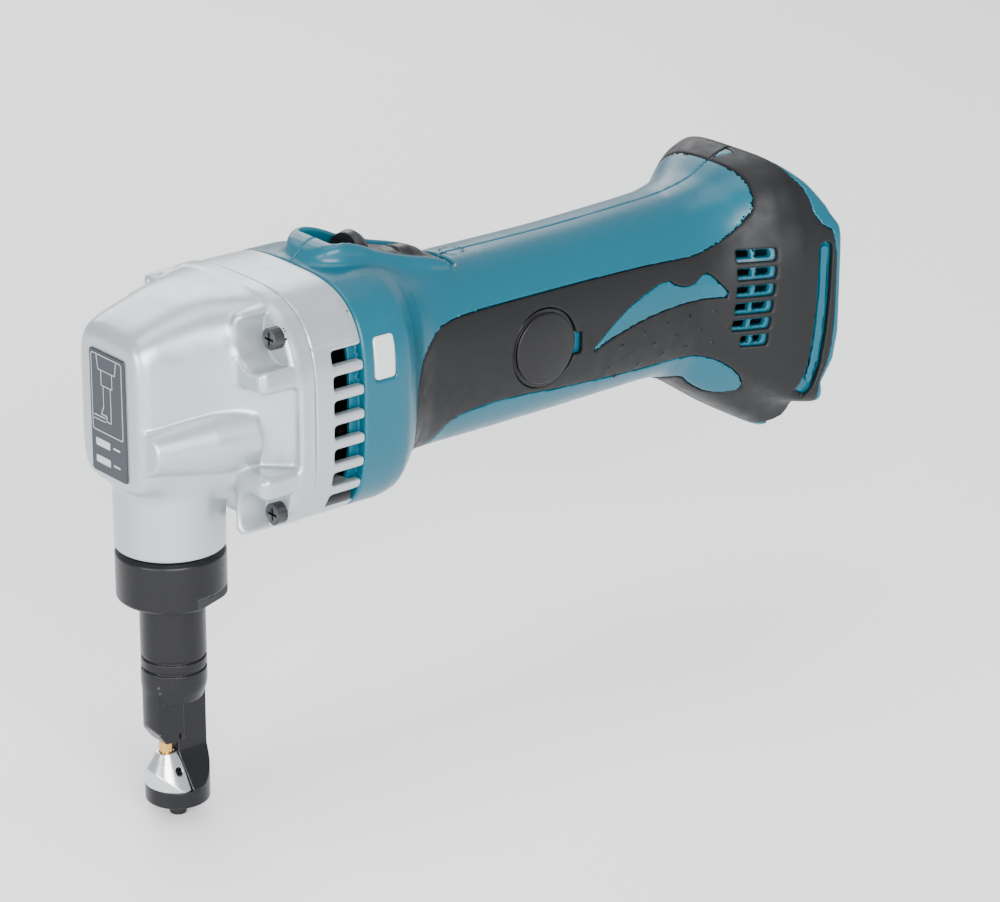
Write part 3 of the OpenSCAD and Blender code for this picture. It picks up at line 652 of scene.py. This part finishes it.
def tube(x, y, z):
    r = np.hypot(x, y)
    d = smax(smax(r - TUBE_R, np.abs(z - 40) - 20.6, 0.3), (r * 3 - z - 9.2 * 3 + 19.4) / 3.2, 0.6)
    groove = np.minimum(np.abs(z - 30.4), np.abs(z - 34.4)) - 0.5
    d = cut(d, smax(groove, TUBE_R - 0.5 - r, 0.1), 0.25)
    d = np.minimum(d, rod(x, y, z, 14, 57.7, 60))
    web = box(x, y, z, (-20, -2.4, -12.5), (20, 2.4, 30), 0.5)
    nose = box(x, y, z, (-20, -4.6, 4.2), (0.5, 4.6, 30), 0.6)
    throat = polygon(x, z, [(-24, -11.8), (-0.9, -11.8), (-0.9, 7), (-1.7, 7), (-1.7, 4.2),
                            (-6.6, 4.2), (-20, 23), (-24, 23)])
    spread = (np.abs(y) + z * 0.778 - 1.62) * 0.79
    flare = smax(smax(spread, z + 1, 1), -11.9 - z, 0.3)
    blade = smin(smin(web, nose, 1), smax(flare, -x - 0.9, 0.3), 1.5)
    blade = smax(blade, r - TUBE_R, 0.4)
    d = smin(d, smax(blade, z - 30, 0.3), 1)
    d = cut(d, throat, 0.4)
    foot = smax(smax(r - TUBE_R, np.abs(z + 14.75) - 2.95, 0.6), r - TUBE_R, 0.3)
    d = np.minimum(d, foot)
    d = np.maximum(d, -rod(x, y, z, 4.4, 20, 70, 0.2))
    d = np.maximum(d, -rod(x - PIN_X, y, z, 2.42, 1, 30, 0.1))
    return cut(d, rod(x, y, z, 2.1, -19, -8, 0.1), 0.3)


def die_block(x, y, z):
    r = np.hypot(x, y)
    q = np.hypot(x - PIN_X, y)
    d = smax(smax(r - TUBE_R, np.abs(z + 5.9) - 5.88, 0.25), (q + z / 1.675 - 3.2) * 0.86, 0.2)
    d = smax(d, x + 0.97, 0.2)
    d = cut(d, rod(x - PIN_X, y, z, 2.4, -6, 2, 0.1), 0.12)
    d = cut(d, rod(x - PIN_X, y, z, 2.7, -9, -4.9, 0.3), 0.2)
    ox = x - PIN_X
    along = y * math.cos(DIE_TURN) - ox * math.sin(DIE_TURN)
    across = ox * math.cos(DIE_TURN) + y * math.sin(DIE_TURN)
    d = cut(d, smax(np.hypot(across, z - DIE_HOLE_Z) - 1.4, along, 0.2), 0.2)
    return cut(d, rod(x, y, z, 2.05, -13, -8.6, 0.1), 0.2)


def bolt(x, y, z):
    d = rod(x, y, z, 2.9, -23.7, -17.7, 0.7)
    d = np.minimum(d, rod(x, y, z, 1.98, -18, -8.7, 0.4))
    angle = np.arctan2(y, x)
    turn = np.abs((angle % (math.pi / 3)) - math.pi / 6)
    hexagon = np.hypot(x, y) * np.cos(turn) - 1.35
    return cut(d, smax(hexagon, z + 20.2, 0.1), 0.2)


# ---- Moulded small parts ----

def lens(x, y, z, side):
    a = y * side
    d = box(x, a, z, (53.25, 37, 127.25), (61.55, 40.5, 141.95), 1.6)
    lens_skin = skin(x, y, z)
    return smax(smax(d, lens_skin - 0.35, 0.8), 37.5 - a, 0.4)


def brush_cap(x, y, z, side):
    a = y * side
    r = np.hypot(x - BRUSH_X, z - COVER_Z)
    d = smax(r - CAP_R, 21.2 - a, 0.4)
    d = smax(d, a - 25.1 + (r / 13.85) ** 2 * 1.1, 1)
    return cut(d, smax(np.abs(r - 12.9) - 0.55, 23.1 - a, 0.2), 0.5)


def knob(x, y, z):
    u, v = track(x, z)
    v = v + KNOB_DROP
    across = np.abs(y)
    slab = box(u, y, v, (-18, -8.4, 1.2), (18.2, 8.4, 3.6), 0.9)
    side = polygon(u, v + 0.065 * y**2, KNOB)
    body = smax(side, across - 7.9, 1.8)
    step = u - 3.2 * np.round(u / 3.2)
    ribs = smax(np.abs(step) - 0.5, np.abs(u + 3) - 6.8, 0.3)
    body = smin(body, smax(smax(ribs, side - 0.5, 0.3), across - 6.6, 0.6), 0.4)
    stem = box(u, y, v, (-3.5, -3.8, -5.2), (1.5, 3.8, 3), 0.4)
    return np.minimum(smin(slab, body, 0.8), stem)


def plate(x, y, z):
    return box(x, y, z, (-22.3, -9.6, 101.4), (-21.5, 9.6, 142.6), 0.25) + \
        np.maximum(np.hypot(np.maximum(np.abs(y) - 8, 0), np.maximum(np.abs(z - 122) - 19, 0))
                   - 1.6, 0)


def plate_marks(x, y, z):
    """A frame, an outline drawing of a tool nose over a sheet, and two plain bars."""
    flat = x * 0
    d = np.abs(box(flat, y, z, (-1, -8.3, 115.6), (1, 8.3, 141.3), 0.9)) - 0.2
    for line in ([(5.4, 140.8), (4.6, 136.4), (-4.6, 136.4), (-5.4, 140.8)],
                 [(3, 136.4), (3, 131.4), (-3, 131.4), (-3, 136.4)],
                 [(2, 131.4), (2, 124.4), (3.4, 121.6), (0.4, 121.6), (0.4, 119.8), (-2, 119.8),
                  (-2, 131.4)],
                 [(7.4, 120.6), (1.2, 120.6)], [(7.4, 119.4), (1.2, 119.4)]):
        d = np.minimum(d, path_distance(y, z, line) - 0.2)
    for low in (110.4, 104.6):
        d = np.minimum(d, box(flat, y, z, (-1, -1, low), (1, 7, low + 2.6), 0.5))
        d = np.minimum(d, box(flat, y, z, (-1, -6.4, low + 0.9), (1, -2.6, low + 1.7), 0.3))
    return np.maximum(d, np.abs(x + 22.3) - 0.07)


for side, word in ((-1, "left"), (1, "right")):
    y_low, y_high = sorted((0, side * 41))
    solid(f"{word}_teal_shell", lambda x, y, z, s=side: teal_housing(x, y, z, s),
          (44, y_low, 50), (260, y_high, 166), 0.85, TEAL, "tool",
          f"{word}_motor_housing")
    solid(f"{word}_rubber_grip", lambda x, y, z, s=side: grip(x, y, z, s),
          (73, y_low, 52), (258, y_high, 164), 0.7, RUBBER, "tool",
          f"{word}_grip")
solid("gear_casting", gear_casting, (-23, -41, 59), (31, 41, 161), 0.75, SILVER, "tool",
      "front_gear_housing")
solid("vent_ring_casting", ring_casting, (28, -41, 77), (50, 41, 159), 0.7, SILVER, "tool",
      "vent_ring_housing")
solid("nose_plate", plate, (-22.6, -10, 101), (-21.3, 10, 143), 0.3, PLATE, "tool",
      "label_plate")
solid("nose_plate_marks", plate_marks, (-22.5, -9, 103), (-22.1, 9, 142), 0.14, SILVER, "tool",
      "label_plate")
solid("turned_lock_nut", nut, (-19, -19, 54), (19, 19, 74), 0.45, OXIDE, "lock_nut",
      "lock_nut")
solid("turned_die_holder", tube, (-14.5, -14.5, -18), (14.5, 14.5, 61), 0.4, OXIDE,
      "die_holder", "die_holder")
solid("ground_die", die_block, (-11, -11, -12), (0, 11, 0.2), 0.28, DIE_STEEL, "die_holder",
      "die")
solid("socket_bolt", bolt, (-3, -3, -24), (3, 3, -8.5), 0.2, BLACK_SCREW, "die_holder",
      "die_bolt")
solid("slide_knob", knob, (68, -9, 138), (109, 9, 167), 0.4, BLACK, "switch_knob",
      "switch_knob")
for part, name, low, high, material, slot, node in (
        (lens, "side_lens", (52, 36, 126), (63, 42, 143), LENS, "lens", "indicator_lenses"),
        (brush_cap, "brush_cap", (122, 20, 101), (152, 27, 131), BLACK, "black_plastic",
         "brush_covers")):
    for side, word in ((-1, "left"), (1, "right")):
        y_low, y_high = sorted((side * low[1], side * high[1]))
        solid(f"{word}_{name}", lambda x, y, z, s=side, f=part: f(x, y, z, s),
              (low[0], y_low, low[2]), (high[0], y_high, high[2]), 0.35, material, "tool",
              node)

# Every CAD node that stays takes the material of its own slot
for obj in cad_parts.values():
    for holder in obj.material_slots:
        holder.material = SLOTS[holder.material.name.split(".")[0]]


# ---- Studio ----

floor_mesh = bpy.data.meshes.new("studio_floor")
floor_mesh.from_pydata([(-4, -4, 0), (4, -4, 0), (4, 6, 0), (-4, 6, 0)], [], [(0, 1, 2, 3)])
FLOOR = Surface("studio_floor", (0.97, 0.97, 0.97, 1), 0.7)
floor_mesh.materials.append(FLOOR.shades(2, 0.01).polish(8, 0.05).relief(60, 0.05, 0.02).done())
floor = bpy.data.objects.new("studio_floor", floor_mesh)
floor.location = (0, 0, CAD_BOX[0][2])
bpy.context.scene.collection.objects.link(floor)

world = bpy.data.worlds.new("studio")
world.use_nodes = True
world.node_tree.nodes["Background"].inputs["Color"].default_value = (0.93, 0.95, 1.0, 1)
world.node_tree.nodes["Background"].inputs["Strength"].default_value = 0.94
bpy.context.scene.world = world


def softbox(name, place_at, towards, size, power):
    light = bpy.data.lights.new(name, "AREA")
    light.shape = "RECTANGLE"
    light.size, light.size_y = size
    light.energy = power
    obj = bpy.data.objects.new(name, light)
    obj.location = place_at
    obj.rotation_euler = (Vector(towards) - Vector(place_at)).to_track_quat("-Z", "Y").to_euler()
    bpy.context.scene.collection.objects.link(obj)


MIDDLE = (0.12, 0, 0.09)
softbox("key", (-0.45, -1.1, 0.6), MIDDLE, (0.9, 0.7), 30)
softbox("front", (-1.3, -0.3, 0.35), MIDDLE, (0.8, 0.6), 15)
softbox("above", (0.1, 0.1, 1.5), MIDDLE, (1.2, 0.9), 9)
softbox("back", (0.5, 1.1, 0.8), MIDDLE, (1.0, 0.6), 9)

# Camera: looks across the tool from its front left, a little from above
YAW, PITCH, ROLL = math.radians(39.5), math.radians(21.6), math.radians(0.26)
OFFSET = Vector((-0.10585, 0.01108, 1.22463))
level = Vector((math.cos(YAW), -math.sin(YAW), 0))
ahead = Vector((math.sin(YAW) * math.cos(PITCH), math.cos(YAW) * math.cos(PITCH),
                -math.sin(PITCH)))
up = level.cross(ahead)
right = level * math.cos(ROLL) + up * math.sin(ROLL)
up = up * math.cos(ROLL) - level * math.sin(ROLL)
camera_data = bpy.data.cameras.new("camera")
camera_data.lens = 138.8
camera_data.sensor_width = 36
camera = bpy.data.objects.new("camera", camera_data)
spin = Matrix((right, up, -ahead)).transposed().to_4x4()
spin.translation = Vector((0, 0, 0.1165)) - right * OFFSET[0] - up * OFFSET[1] - ahead * OFFSET[2]
camera.matrix_world = spin
bpy.context.scene.collection.objects.link(camera)
bpy.context.scene.camera = camera
